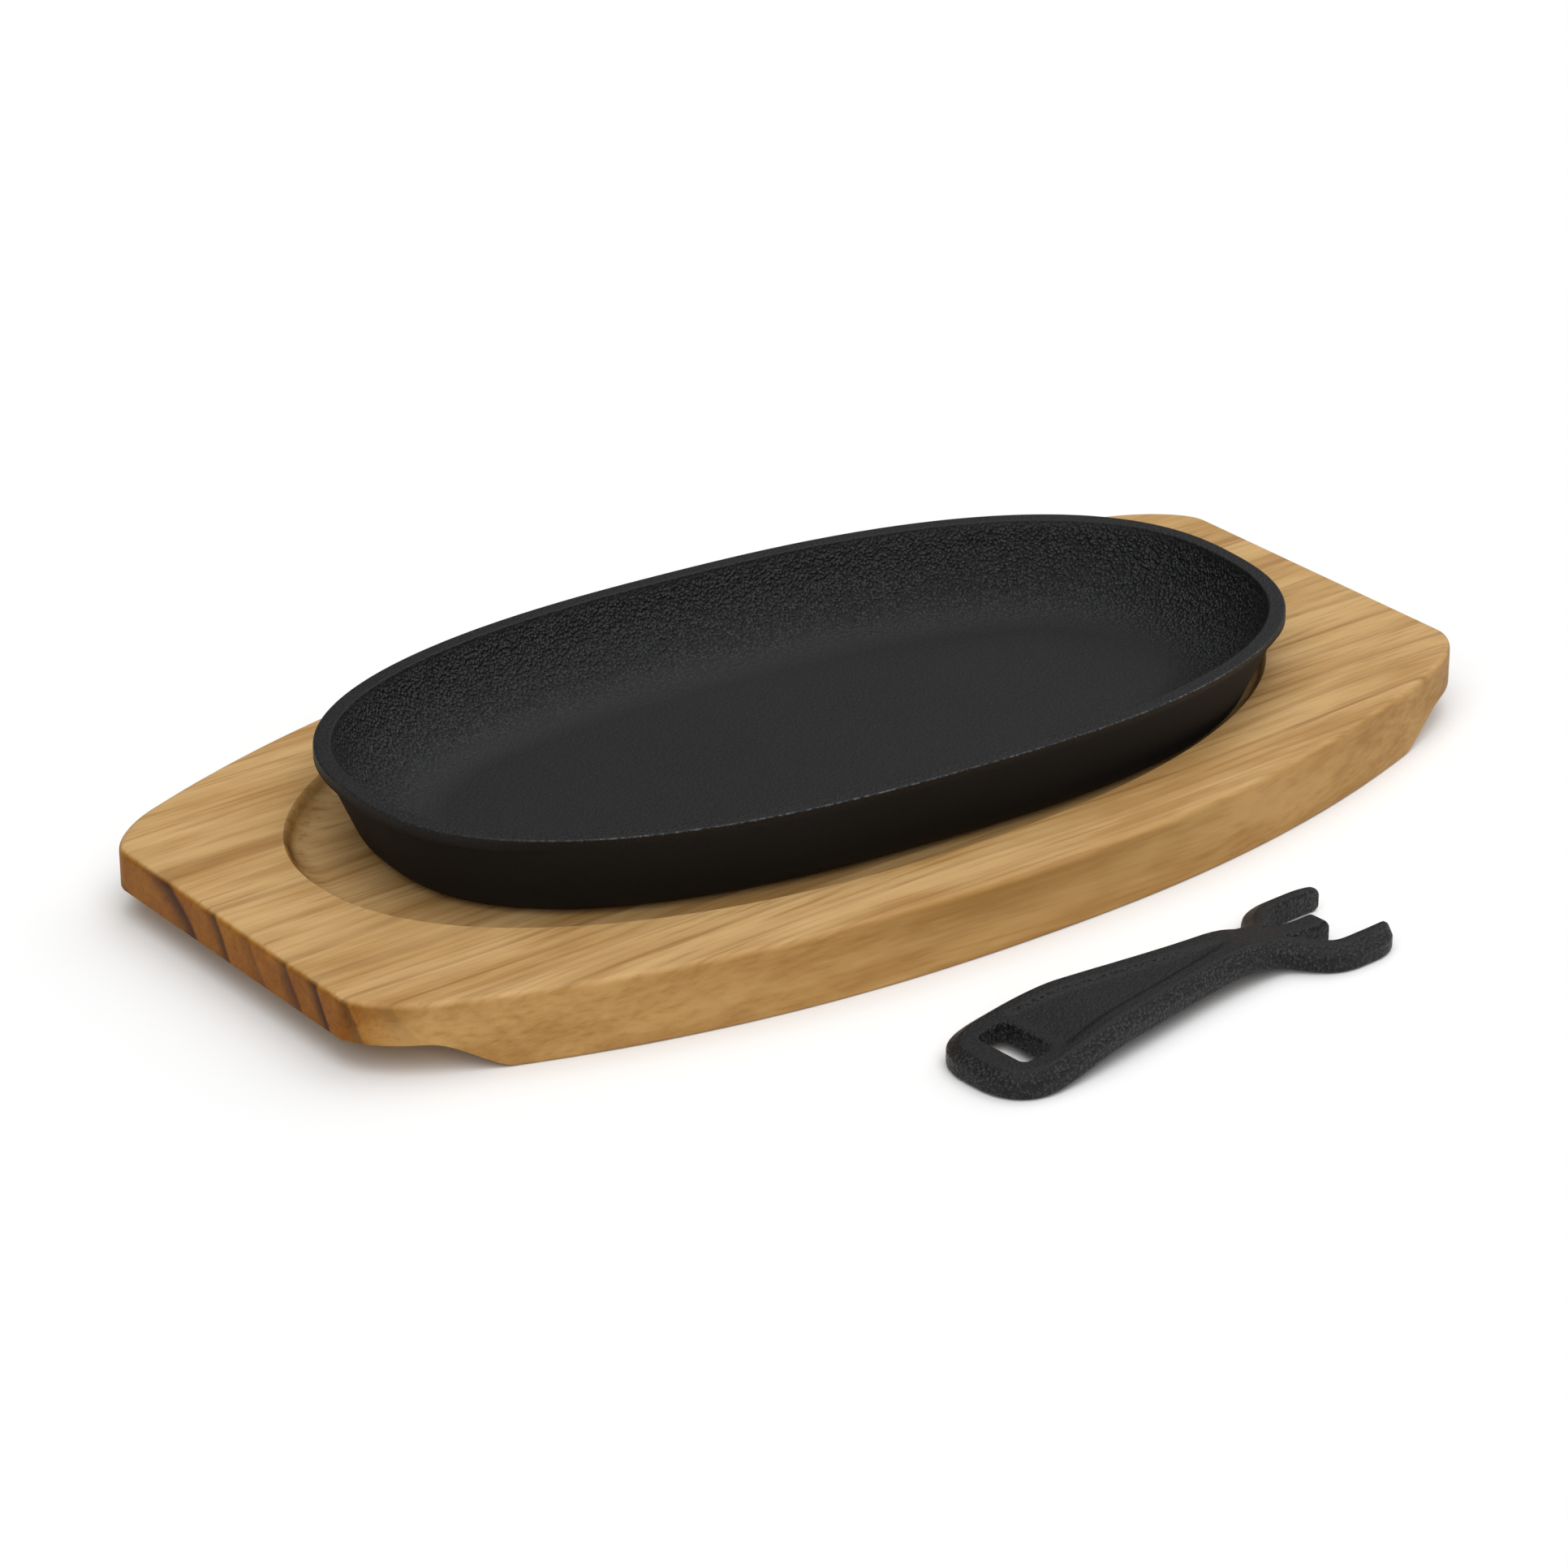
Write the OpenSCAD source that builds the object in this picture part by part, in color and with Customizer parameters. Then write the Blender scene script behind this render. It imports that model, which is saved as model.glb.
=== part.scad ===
// Oval cast-iron sizzle platter, resting in the recess of a wooden underliner board,
// with its loose cast-iron gripper handle lying beside the board.
// Millimetres. The origin is the middle of the board's underside, +X runs along the
// board and +Z is up. The long side at -Y faces the handle.

/* [Platter] */
// Length of the platter over its rim
platter_l = 246; // [200:1:280]
// Width of the platter over its rim
platter_w = 131; // [110:1:160]
// Height of the platter from its flat base to the top of the rim
platter_h = 23.5; // [19:0.5:32]
// Roundness of the platter's oval: 2 is an ellipse, more is squarer
platter_power = 2.45; // [2:0.05:3]
// Width of the flat ring on top of the rim
rim_w = 4.1; // [3:0.1:6]
// How far the wall leans in from the rim to the base
wall_lean = 10; // [6:0.5:14]
// Thickness of the platter's floor
floor_t = 4.8; // [3.5:0.1:7]
// Radius where the outside of the wall turns into the base
base_r = 8; // [4:0.5:10]
// Radius where the inside of the wall runs out into the floor
bowl_r = 26; // [14:1:28]
// Thickness of the gripping lips at both ends of the rim
lip_t = 3.4; // [2.5:0.1:5]
// How far the gripping lips stand out from the wall below them
lip_reach = 1.8; // [1:0.1:3]
// Small round on the edges of the rim
rim_edge_r = 0.6; // [0.3:0.1:1]
// How far the platter lies turned in its recess, in degrees
platter_turn = -4.1; // [-5:0.1:5]
// How far the platter lies off the middle of its recess, along the board
platter_shift = 3.9; // [-5:0.1:5]
// How far the platter lies off the middle of its recess, away from the handle
platter_aside = -2.8; // [-4:0.1:4]

/* [Board] */
// Thickness of the board
board_t = 17.5; // [14:0.5:25]
// Depth of the recess that the platter stands in
recess_depth = 6; // [4:0.5:8]
// Width of the recess's hollow side, from its floor up to its edge
recess_slope = 8.5; // [5:0.5:12]
// Roundness of the recess's oval: 2 is an ellipse, more is squarer
recess_power = 2.15; // [2:0.05:3]
// How far the middle of the recess lies off the middle of the board, along the board
recess_shift = -3.4; // [-6:0.1:6]
// How far the middle of the recess lies off the middle of the board, away from the handle
recess_aside = 2.8; // [-4:0.1:4]
// Clearance between the platter's base and the recess floor at each end
seat_play_l = 15.2; // [14:0.1:26]
// Clearance between the platter's base and the recess floor at each side
seat_play_w = 12; // [11:0.1:16]
// Wood left between the recess and each end of the board
end_margin = 28.9; // [20:0.1:40]
// Wood left between the recess and each side of the board, at the middle
side_margin = 15.6; // [12:0.1:30]
// How far each side draws in from the middle of the board to its ends
side_draw_in = 34; // [20:1:40]
// How late the sides start to draw in: 2 is an even bow, more keeps the middle straighter
side_power = 2.26; // [2:0.02:3]
// Length of each rounded corner along the side
corner_run = 17; // [10:1:24]
// Length of each rounded corner along the end
corner_drop = 16.5; // [8:0.5:20]
// Round on the upper edge of the board
top_edge_r = 1.6; // [0.5:0.1:2.5]
// Round on the lower edge of the board
foot_edge_r = 0.8; // [0.3:0.1:1.5]
// Height of the finger gap cut away under each end
finger_h = 7.8; // [5:0.2:9]
// Length of the finger gap, from the board's end to the foot that it stands on
finger_l = 33; // [26:1:40]
// Level part of the finger gap, next to the board's end
finger_flat_l = 13; // [8:1:18]

/* [Gripper handle] */
// Length of the handle over its prongs
handle_l = 116; // [112:0.2:140]
// Thickness of the handle
handle_t = 6; // [4.5:0.1:8]
// Width of the palm end
palm_w = 30; // [26:0.5:40]
// Distance from the palm end to the narrowest place
neck_at = 85; // [76:1:87]
// Width at the narrowest place
neck_w = 14.8; // [13:0.2:18]
// Width over the two prongs
fork_w = 32; // [29:0.2:38]
// Width of each prong
prong_w = 5.8; // [4.5:0.1:6.5]
// Distance from the palm end to the middle of the bend in which the prongs splay out
splay_at = 93.5; // [90:0.5:96]
// Straight run of the prongs, up to their tips
prong_run = 12.5; // [9:0.5:15]
// Length over which the prongs' tips are rounded off
prong_tip_l = 8; // [4:0.5:9]
// Round on the upper edge of the tips of the prongs and the tongue
tip_r = 2; // [0.5:0.1:2.5]
// Distance from the palm end to the bottom of the gaps between the prongs and the tongue
gap_at = 96.5; // [92:0.5:98]
// Width of the tongue between the prongs
tongue_w = 5.6; // [4:0.1:6.5]
// How far the tongue stops short of the prongs' tips
tongue_back = 9.8; // [6:0.2:14]
// Rise of the arched neck above the surface that the handle lies on
arch_h = 3.9; // [1:0.1:5]
// Width of the bevel around the top
bevel_w = 2.6; // [1.5:0.1:3.5]
// Height of the bevel around the top
bevel_h = 2; // [1:0.1:3]
// Small round on the lower edge
under_edge = 0.7; // [0.3:0.1:1.2]
// Length of the rounded palm end
palm_round = 15.5; // [8:0.5:16]
// Length of the hanging hole, across the handle
hole_l = 15.6; // [12:0.2:20]
// Width of the hanging hole, along the handle
hole_w = 8.2; // [6:0.2:12]
// Iron left between the palm end and the hanging hole
hole_margin = 8.4; // [6:0.1:11]
// Corner radius of the hanging hole
hole_r = 1.6; // [1:0.1:2.5]
// Depth of the dish in the top of the palm
dish_depth = 1; // [0.4:0.1:1.5]
// Width of the raised border beside the dish
dish_border = 3; // [2:0.1:5]
// How far the web between prongs and tongue lies below their tops
web_drop = 1.2; // [0.5:0.1:2.5]

/* [Where the handle lies] */
// Free space between the board's long side and the handle
handle_gap = 29.8; // [10:0.1:60]
// Palm end of the handle, measured along the board from its middle
handle_x = -57.7; // [-140:0.1:20]
// How far the handle is turned out of line with the board, in degrees
handle_turn = 3.5; // [-10:0.1:10]

/* [Hidden] */

iron = "#262626";
wood = "#c79a63";

// Points around the platter, around each quarter of the board, and on each round
oval_count = 120;
bow_steps = 18;
corner_steps = 10;
round_steps = 6;
bowl_steps = 9;
// How far every cut runs out past the solid that it is made in
cut_over = 5;

half_l = platter_l / 2;
half_w = platter_w / 2;
lip_z = platter_h - lip_t;
wall_slope = wall_lean / platter_h;
lean_angle = atan(wall_slope);
base_tangent = base_r * tan((90 - lean_angle) / 2);
base_inset = wall_lean + base_tangent;
floor_corner_inset = rim_w + (platter_h - floor_t) * wall_slope;
bowl_tangent = bowl_r * tan((90 - lean_angle) / 2);
bowl_inset = floor_corner_inset + bowl_tangent;
// Below a lip the wall stands this much further in than it does at the sides
lip_setback = lip_reach - lip_t * wall_slope;
// The lips fade out between these shares of the half length
lip_fade_from = 0.78;
lip_fade_to = 0.92;

seat_z = board_t - recess_depth;
recess_floor_l = half_l - base_inset - lip_setback + seat_play_l;
recess_floor_w = half_w - base_inset + seat_play_w;
recess_half_l = recess_floor_l + recess_slope;
recess_half_w = recess_floor_w + recess_slope;
board_half_l = recess_half_l + end_margin;
board_half_w = recess_half_w + side_margin;

function clamp01(v) = min(1, max(0, v));
function smooth(v) = let (c = clamp01(v)) c * c * (3 - 2 * c);
function signed_power(v, p) = sign(v) * pow(abs(v), p);

// Point of an oval with these half sizes, at parameter angle a
function oval_point(l, w, power, a) =
    [l * signed_power(cos(a), 2 / power), w * signed_power(sin(a), 2 / power)];

// Distance from the middle to an oval's edge, in direction a
function oval_reach(l, w, power, a) =
    pow(pow(abs(cos(a)) / l, power) + pow(abs(sin(a)) / w, power), -1 / power);

function middle(ring) = [for (ring_point = ring) 1] * ring / len(ring);

// Closed solid through rings of equally many points, with a fan over the first and last ring.
// Each ring runs counterclockwise as seen from the ring that follows it
module skin(rings) {
    n = len(rings[0]);
    last = len(rings) - 1;
    start = n * (last + 1);
    points = concat([for (ring = rings) each ring], [middle(rings[0]), middle(rings[last])]);
    sides = [
        for (k = [0:last - 1], i = [0:n - 1])
            let (a = k * n + i, b = k * n + (i + 1) % n)
                each [[a, a + n, b], [b, a + n, b + n]]
    ];
    caps = [
        for (i = [0:n - 1])
            let (j = (i + 1) % n)
                each [[start, i, j], [start + 1, last * n + j, last * n + i]]
    ];
    polyhedron(points = points, faces = concat(sides, caps), convexity = 6);
}

// How much of the lip stands at this place of the oval: 1 at the ends, 0 at the sides
function lip_share(x) = smooth((abs(x) / half_l - lip_fade_from) / (lip_fade_to - lip_fade_from));

// Ring of the platter: how far it lies inside the rim's outer edge, at the sides and at the lips
function platter_ring(side_inset, lip_inset, z) = [
    for (i = [0:oval_count - 1])
        let (
            a = 360 * i / oval_count,
            share = lip_share(oval_point(half_l, half_w, platter_power, a).x),
            d = side_inset + (lip_inset - side_inset) * share,
            p = oval_point(half_l - d, half_w - d, platter_power, a)
        )
        [p.x, p.y, z]
];

// Outside of the platter, from the base up to the lip
base_round = [
    for (k = [0:round_steps])
        let (
            a = k * (90 - lean_angle) / round_steps,
            inset = base_inset - base_r * sin(a)
        )
        platter_ring(inset, inset + lip_setback, base_r * (1 - cos(a)))
];
// Outside of the rim, from the lip's underside up to the flat ring
lip_root = 0.3;
rim_steps = 3;
lip_round = [
    platter_ring((lip_t + lip_root) * wall_slope, lip_reach + lip_root * wall_slope, lip_z - lip_root),
    platter_ring(lip_t * wall_slope, rim_edge_r, lip_z),
    platter_ring((lip_t - rim_edge_r) * wall_slope, 0, lip_z + rim_edge_r),
    for (k = [0:rim_steps])
        let (
            a = 90 * k / rim_steps,
            drop = rim_edge_r * (1 - sin(a)),
            inset = rim_edge_r * (1 - cos(a))
        )
        platter_ring(inset + drop * wall_slope, inset, platter_h - drop)
];
// Inside of the platter, from the floor up the wall, round the rim's inner edge and out over it
bowl_round = [
    for (k = [0:bowl_steps])
        let (
            a = (90 - lean_angle) * k / bowl_steps,
            inset = bowl_inset - bowl_r * sin(a)
        )
        platter_ring(inset, inset, floor_t + bowl_r * (1 - cos(a))),
    for (k = [rim_steps:-1:0])
        let (
            a = 90 * k / rim_steps,
            inset = rim_w - rim_edge_r * (1 - sin(a))
        )
        platter_ring(inset, inset, platter_h - rim_edge_r * (1 - cos(a))),
    platter_ring(rim_w - rim_edge_r, rim_w - rim_edge_r, platter_h + cut_over)
];

module platter() {
    color(iron)
        translate([recess_shift + platter_shift, recess_aside + platter_aside, seat_z])
            rotate([0, 0, platter_turn])
                difference() {
                    skin(concat(base_round, lip_round));
                    skin(bowl_round);
                }
}

// Half width of the board at distance x from its middle, before the corners are rounded
function bow_w(x) = board_half_w - side_draw_in * pow(x / board_half_l, side_power);
function bow_slope(x) = -side_draw_in * side_power * pow(x / board_half_l, side_power - 1) / board_half_l;
function bezier(p0, p1, p2, p3, t) =
    pow(1 - t, 3) * p0 + 3 * pow(1 - t, 2) * t * p1 + 3 * (1 - t) * t * t * p2 + t * t * t * p3;

corner_x = board_half_l - corner_run;
corner_from = [corner_x, bow_w(corner_x)];
corner_peak = [board_half_l, corner_from.y + bow_slope(corner_x) * corner_run];
corner_to = [board_half_l, corner_from.y - corner_drop];
// Share of the way to the corner's peak where its handles stand, for a round like an arc
corner_pull = 0.56;
corner_p1 = corner_from + (corner_peak - corner_from) * corner_pull;
corner_p2 = corner_to + (corner_peak - corner_to) * corner_pull;

// First quarter of the outline, from the middle of the end round to the middle of the side
end_steps = 3;
board_quarter = [
    for (k = [0:end_steps - 1]) [board_half_l, corner_to.y * k / end_steps],
    for (k = [0:corner_steps]) bezier(corner_to, corner_p2, corner_p1, corner_from, k / corner_steps),
    for (k = [1:bow_steps]) let (x = corner_x * (1 - k / bow_steps)) [x, bow_w(x)]
];
quarter_last = len(board_quarter) - 1;
board_outline = [
    for (k = [0:quarter_last]) board_quarter[k],
    for (k = [quarter_last - 1:-1:0]) [-board_quarter[k].x, board_quarter[k].y],
    for (k = [1:quarter_last]) [-board_quarter[k].x, -board_quarter[k].y],
    for (k = [quarter_last - 1:-1:1]) [board_quarter[k].x, -board_quarter[k].y]
];
outline_count = len(board_outline);

function unit(v) = v / norm(v);
// Outward direction at point i of the outline
function outline_out(i) =
    let (
        before = board_outline[(i + outline_count - 1) % outline_count],
        after = board_outline[(i + 1) % outline_count],
        along = unit(after - before)
    )
    [along.y, -along.x];

function board_ring(inset, z) = [
    for (i = [0:outline_count - 1])
        let (p = board_outline[i] - inset * outline_out(i))
            [p.x, p.y, z]
];
function recess_ring(grow, z) = [
    for (i = [0:outline_count - 1])
        let (
            p = board_outline[i] - [recess_shift, recess_aside],
            a = atan2(p.y, p.x),
            r = oval_reach(recess_floor_l + grow, recess_floor_w + grow, recess_power, a)
        )
        [recess_shift + r * cos(a), recess_aside + r * sin(a), z]
];

edge_steps = 4;
slope_steps = 6;
// Hollow side of the recess: an arc that runs out flat into the floor, and a small bevel at its edge
recess_bevel = 0.8;
arc_used = 0.97;
function slope_rise(share) = 1 - sqrt(1 - pow(arc_used * share, 2));
slope_top = (recess_depth - recess_bevel) / slope_rise(1);

board_rings = concat(
    [
        for (k = [0:edge_steps])
            let (a = 90 * k / edge_steps)
                board_ring(foot_edge_r * (1 - sin(a)), foot_edge_r * (1 - cos(a)))
    ],
    [
        for (k = [0:edge_steps])
            let (a = 90 * k / edge_steps)
                board_ring(top_edge_r * (1 - cos(a)), board_t - top_edge_r * (1 - sin(a)))
    ],
    [recess_ring(recess_slope, board_t)],
    [
        for (k = [slope_steps:-1:0])
            let (s = k / slope_steps)
                recess_ring((recess_slope - recess_bevel) * s, seat_z + slope_top * slope_rise(s))
    ]
);

// Height of the board's underside at this distance inward from its end
function finger_z(inward) =
    finger_h * (1 - smooth((inward - finger_flat_l) / (finger_l - finger_flat_l)));
finger_steps = 14;

module finger_cut() {
    profile = [
        [-cut_over, -cut_over],
        [-cut_over, finger_h],
        for (k = [0:finger_steps])
            let (s = finger_flat_l + (finger_l - finger_flat_l) * k / finger_steps)
                [s, finger_z(s)],
        [finger_l + cut_over, -cut_over]
    ];
    translate([board_half_l, board_half_w + cut_over, 0])
        rotate([90, 0, 0])
            linear_extrude(2 * (board_half_w + cut_over))
                mirror([1, 0, 0])
                    polygon(profile);
}

module underliner_board() {
    color(wood)
        difference() {
            skin(board_rings);
            finger_cut();
            mirror([1, 0, 0])
                finger_cut();
        }
}

// The arch of the handle: its rise above the surface at distance u from the palm end
arch_from = 5;
arch_full = 0.42 * neck_at;
// It starts to come down this far before the neck and is down this far before the straight prongs
arch_lead = 12;
arch_rest = 3;
flare_at = handle_l - prong_run;
arch_down = neck_at - arch_lead;
arch_end = flare_at - arch_rest;
function arch(u) =
    arch_h * smooth((u - arch_from) / (arch_full - arch_from))
        * (1 - smooth((u - arch_down) / (arch_end - arch_down)));

// Middle line of a prong, splaying out from the neck: t runs from 0 to 1
prong_root_y = (neck_w - prong_w) / 2;
prong_end_y = (fork_w - prong_w) / 2;
function prong_mid(t) =
    bezier([neck_at, prong_root_y], [splay_at, prong_root_y], [splay_at, prong_end_y], [flare_at, prong_end_y], t);

// Half width of the handle's body: palm, taper and neck, then the web inside the prongs
taper_from = 11;
palm_power = 2.6;
function body_w(u) =
    let (
        taper = smooth((u - taper_from) / (neck_at - taper_from)),
        splay = smooth((u - neck_at) / (flare_at - neck_at)),
        tuck = smooth((u - neck_at) / web_tuck_l)
    )
    palm_w / 2 - (palm_w - neck_w) / 2 * taper + (prong_end_y - prong_root_y) * splay - prong_w / 2 * tuck;
// Length over which the web's edge draws in under the prong
web_tuck_l = 5;
function end_share(u) = max(0, (palm_round - u) / palm_round);
function half_width(u) = body_w(u) * pow(1 - pow(end_share(u), palm_power), 1 / palm_power);

// Distance from a point of the body inward from its outline
function edge_distance(u, y) =
    let (
        w = body_w(u),
        side = pow(abs(y) / w, palm_power),
        end = pow(end_share(u), palm_power),
        rho = pow(side + end, 1 / palm_power)
    )
    rho < 0.001 ? w : (1 - rho) * (w * side + palm_round * end) / (side + end);

hole_mid = hole_margin + hole_w / 2;
// The dish is a long triangle that starts behind the hole and runs to a point before the neck
hole_rim = 1.5;
dish_from = hole_margin + hole_w + hole_rim;
dish_end = 4;
dish_to = neck_at - dish_end;
dish_ramp = 3;
dish_fade = 20;
function dish(u, y) =
    let (
        reach = (palm_w / 2 - bevel_w - dish_border) * (dish_to - u) / (dish_to - dish_from),
        inside = smooth((reach - abs(y)) / dish_ramp + 0.5),
        started = smooth((u - dish_from) / dish_ramp),
        left = smooth((dish_to - u) / dish_fade)
    )
    dish_depth * inside * started * left;
web_ramp = 14;
function web_fall(u) = web_drop * smooth((u - neck_at + web_ramp / 2) / web_ramp);
function bevel_fall(u, y) = bevel_h * (1 - clamp01(edge_distance(u, y) / bevel_w));
function top_z(u, y) = handle_t - bevel_fall(u, y) - dish(u, y) - web_fall(u);
function under_z(u, y) = under_edge * (1 - clamp01(edge_distance(u, y) / under_edge));

// Cross-section of the body at distance u from the palm end
top_shares = [1, 0.93, 0.86, 0.78, 0.68, 0.57, 0.46, 0.34, 0.23, 0.11];
function body_section(u) =
    let (
        w = half_width(u),
        z = arch(u),
        inner = max(w / 2, w - under_edge),
        half = [
            for (s = top_shares)
                let (y = w * s) [y, top_z(u, y)]
        ]
    )
    [
        [u, inner, z + under_z(u, inner)],
        [u, w, z + under_edge],
        for (p = half) [u, p[0], z + p[1]],
        [u, 0, z + top_z(u, 0)],
        for (k = [len(half) - 1:-1:0]) [u, -half[k][0], z + half[k][1]],
        [u, -w, z + under_edge],
        [u, -inner, z + under_z(u, inner)]
    ];

tip_steps = 8;
body_steps = 44;
// The first section stands just inside the palm end, so that it keeps a width
first_share = 0.012;
// The web ends at the inner side of each prong, at this share of its bend
web_share = 0.85;
bend_step = 0.02;
bend_along = unit(prong_mid(web_share + bend_step) - prong_mid(web_share - bend_step));
bend_inner = prong_mid(web_share) + prong_w / 2 * [bend_along.y, -bend_along.x];
gap_mid = (bend_inner.y + tongue_w / 2) / 2;
// The cut for each gap runs this far into the prong and the tongue beside it
gap_lap = 0.6;
gap_r = (bend_inner.y - tongue_w / 2) / 2 + gap_lap;
body_end = bend_inner.x;
body_stations = [
    for (k = [0:tip_steps]) palm_round * (1 - cos(90 * max(k, first_share * 90) / tip_steps)),
    for (k = [1:body_steps]) palm_round + (body_end - palm_round) * k / body_steps
];

module palm() {
    skin([for (u = body_stations) body_section(u)]);
}

// Cross-section of a prong, as wide as its share says: its outer side has the wide bevel
prong_bevel_h = bevel_h + 0.3;
prong_bevel_w = bevel_w + 0.6;
prong_edge = 0.6;
function prong_profile(share, rise, top) =
    let (w = prong_w / 2 * share)
    [
        [-w + prong_edge * share, rise],
        [w - under_edge * share, rise],
        [w, rise + under_edge],
        [w, top - prong_bevel_h],
        [w - prong_bevel_w * share, top],
        [-w + prong_edge * share, top],
        [-w, top - prong_edge],
        [-w, rise + prong_edge]
    ];
// How far a tip that ends at this u has rounded off at u
tip_arc = 0.99;
function tip_fall(u, tip) =
    let (past = tip_arc * clamp01((u - tip + tip_r) / tip_r))
        tip_r * (1 - sqrt(1 - past * past));
flare_steps = 18;
prong_tip_steps = 8;
// The prongs and the tongue start inside the neck, a little below its top
root_l = 12;
root_sink = 0.5;
function root_fall(u) = root_sink * smooth((neck_at - u) / root_l);
// A tip narrows from its outer side, so that its inner side runs on straight
tip_bluntness = 0.88;
function prong_share(u) =
    let (past = clamp01((u - handle_l + prong_tip_l) / prong_tip_l))
        sqrt(1 - tip_bluntness * past * past);
prong_path = [
    [neck_at - root_l, prong_root_y - root_sink],
    [neck_at - root_l / 2, prong_root_y - root_sink / 2],
    for (k = [0:flare_steps]) prong_mid(k / flare_steps),
    for (k = [0:prong_tip_steps])
        let (u = handle_l - prong_tip_l * (1 - sin(90 * k / prong_tip_steps)))
            [u, prong_end_y - prong_w / 2 * (1 - prong_share(u))]
];

function prong_section(i, out) =
    let (
        count = len(prong_path),
        here = prong_path[i],
        ahead = prong_path[min(i + 1, count - 1)],
        behind = prong_path[max(i - 1, 0)],
        along = here.x > flare_at ? [1, 0] : unit(ahead - behind),
        z = arch(here.x),
        fall = tip_fall(here.x, handle_l),
        top = handle_t - fall - root_fall(here.x)
    )
    [
        for (p = prong_profile(prong_share(here.x), fall / 2, top))
            [here.x - along.y * p[0], out * (here.y + along.x * p[0]), z + p[1]]
    ];

module prong(out) {
    sections = [for (i = [0:len(prong_path) - 1]) prong_section(i, out)];
    skin(out > 0 ? sections : [for (s = sections) [for (k = [len(s) - 1:-1:0]) s[k]]]);
}

tongue_tip = handle_l - tongue_back;
tongue_edge = 0.6;
tongue_steps = 14;
tongue_tip_steps = 5;
tongue_from = neck_at - root_l;
function tongue_section(u) =
    let (
        fall = tip_fall(u, tongue_tip),
        w = tongue_w / 2 - fall / 6,
        z = arch(u),
        top = z + handle_t - fall - root_fall(u)
    )
    [
        [u, w - tongue_edge, z],
        [u, w, z + tongue_edge],
        [u, w, top - tongue_edge],
        [u, w - tongue_edge, top],
        [u, -w + tongue_edge, top],
        [u, -w, top - tongue_edge],
        [u, -w, z + tongue_edge],
        [u, -w + tongue_edge, z]
    ];

module tongue() {
    skin([
        for (k = [0:tongue_steps]) tongue_section(tongue_from + (tongue_tip - tip_r - tongue_from) * k / tongue_steps),
        for (k = [1:tongue_tip_steps]) tongue_section(tongue_tip - tip_r * (1 - sin(90 * k / tongue_tip_steps)))
    ]);
}

// Hanging hole, cut straight through the palm
module hanging_hole() {
    translate([hole_mid, 0, -cut_over])
        linear_extrude(handle_t + arch_h + 2 * cut_over)
            union() {
                square([hole_w - 2 * hole_r, hole_l], center = true);
                square([hole_w, hole_l - 2 * hole_r], center = true);
                for (sx = [-1, 1], sy = [-1, 1])
                    translate([sx * (hole_w / 2 - hole_r), sy * (hole_l / 2 - hole_r)])
                        circle(r = hole_r, $fn = 32);
            }
}

// Rounded bottom of the gap between a prong and the tongue
gap_steps = 24;
module fork_gap(out) {
    gap_deep = body_end - gap_at;
    translate([body_end, out * gap_mid, -cut_over])
        linear_extrude(handle_t + arch_h + 2 * cut_over)
            polygon([
                for (k = [0:gap_steps])
                    let (a = 90 + 180 * k / gap_steps)
                        [gap_deep * cos(a), gap_r * sin(a)],
                [cut_over, -gap_r],
                [cut_over, gap_r]
            ]);
}

handle_near_y = -board_half_w - handle_gap - palm_w / 2;

module gripper_handle() {
    color(iron)
        translate([handle_x, handle_near_y, 0])
            rotate([0, 0, handle_turn])
                union() {
                    difference() {
                        palm();
                        hanging_hole();
                        fork_gap(1);
                        fork_gap(-1);
                    }
                    prong(1);
                    prong(-1);
                    tongue();
                }
}

platter();
underliner_board();
gripper_handle();
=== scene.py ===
"""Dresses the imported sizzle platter: sand-cast iron, an oiled wooden underliner, a plain studio.

Everything is in metres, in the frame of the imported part: +X runs along the board, +Z is up,
and the loose gripper handle lies at the -Y side.
"""

import math

import bmesh
import bpy
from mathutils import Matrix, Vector


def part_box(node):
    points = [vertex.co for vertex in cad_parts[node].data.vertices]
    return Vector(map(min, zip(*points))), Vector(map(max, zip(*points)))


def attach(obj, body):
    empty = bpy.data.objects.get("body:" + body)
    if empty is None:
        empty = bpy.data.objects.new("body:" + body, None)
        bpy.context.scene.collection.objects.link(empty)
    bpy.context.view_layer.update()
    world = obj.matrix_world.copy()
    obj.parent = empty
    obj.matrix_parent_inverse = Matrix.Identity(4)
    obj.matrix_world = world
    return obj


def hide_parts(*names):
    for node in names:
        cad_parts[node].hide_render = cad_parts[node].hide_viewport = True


bl_info = {
    "name": "Sizzle Platter",
    "version": (1, 0, 0),
    "blender": (4, 5, 0),
    "location": "View3D > Sidebar > Sizzle Platter",
    "description": "Models an iron sizzle platter, its wooden underliner and its gripper handle",
    "category": "Object",
}

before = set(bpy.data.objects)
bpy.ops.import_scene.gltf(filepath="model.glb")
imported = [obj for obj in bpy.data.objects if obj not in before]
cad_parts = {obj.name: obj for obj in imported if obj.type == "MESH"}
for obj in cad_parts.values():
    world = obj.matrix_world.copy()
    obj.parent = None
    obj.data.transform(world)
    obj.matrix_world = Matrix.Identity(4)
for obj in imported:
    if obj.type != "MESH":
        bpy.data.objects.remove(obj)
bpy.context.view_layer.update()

# Height of the recess's floor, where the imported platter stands
SEAT_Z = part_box("platter")[0][2]

# The photograph's side in pixels, and the camera that was fitted to it
PHOTO_PX = 1932
FOCAL_PX = 6761.06
SENSOR_MM = 36.0

MM = 0.001


# Numbers and curves that the shapes share

def smooth(value):
    """Runs from 0 to 1 with a soft start and a soft end."""
    c = min(max(value, 0.0), 1.0)
    return c * c * (3.0 - 2.0 * c)


def fade(value, start, end):
    """Runs softly from 0 at the start to 1 at the end."""
    return smooth((value - start) / (end - start))


def between(a, b, share):
    """Number this share of the way from a to b."""
    return a + (b - a) * share


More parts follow.
